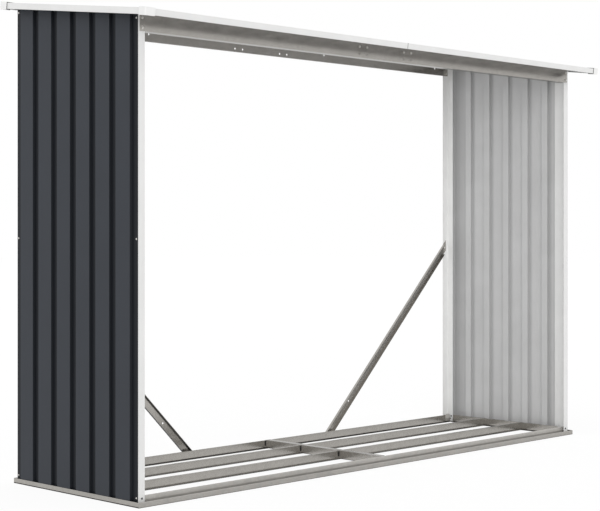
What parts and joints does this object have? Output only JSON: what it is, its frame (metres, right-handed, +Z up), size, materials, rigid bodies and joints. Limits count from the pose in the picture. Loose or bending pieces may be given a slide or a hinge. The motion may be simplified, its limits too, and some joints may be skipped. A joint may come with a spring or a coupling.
{
  "type": "log store",
  "caption": "Open-fronted log store: ribbed side walls on a slatted steel base, slim corner posts, beams under a lean-to ribbed roof with pale edge trim, diagonal rear braces",
  "frame": {"origin": "On the ground under the middle of the roof's outline", "axes": "+X along the length, to the right as seen from the open front; -Y to the open front; +Z up"},
  "size_m": [2.419, 0.762, 1.6131],
  "materials": {
    "galvanised": "matt zinc coating",
    "white_coat": "satin white coating",
    "wall_sheet": "satin anthracite outside, white inside",
    "roof_sheet": "satin anthracite above, white below",
    "white_cap": "matt white moulding"
  },
  "bodies": {
    "root": {"base_front_rail": "galvanised", "base_rear_rail": "galvanised", "base_left_rail": "galvanised", "base_right_rail": "galvanised", "cross_rail": "galvanised", "front_slat_left": "galvanised", "front_slat_right": "galvanised", "rear_slat_left": "galvanised", "rear_slat_right": "galvanised", "front_left_post": "white_coat", "front_right_post": "white_coat", "rear_left_post": "white_coat", "rear_right_post": "white_coat", "left_wall": "wall_sheet", "right_wall": "wall_sheet", "left_side_rail": "galvanised", "right_side_rail": "galvanised", "front_beam_left": "galvanised", "front_beam_right": "galvanised", "front_joint_plate": "galvanised", "rear_beam_left": "galvanised", "rear_beam_right": "galvanised", "rear_joint_plate": "galvanised", "left_brace": "galvanised", "right_brace": "galvanised", "roof_sheet_1": "roof_sheet", "roof_sheet_2": "roof_sheet", "roof_sheet_3": "roof_sheet", "roof_sheet_4": "roof_sheet", "front_trim_left": "white_coat", "front_trim_right": "white_coat", "rear_trim_left": "white_coat", "rear_trim_right": "white_coat", "left_trim": "white_coat", "right_trim": "white_coat", "front_left_cap": "white_cap", "front_right_cap": "white_cap", "rear_left_cap": "white_cap", "rear_right_cap": "white_cap"}
  },
  "joints": []
}
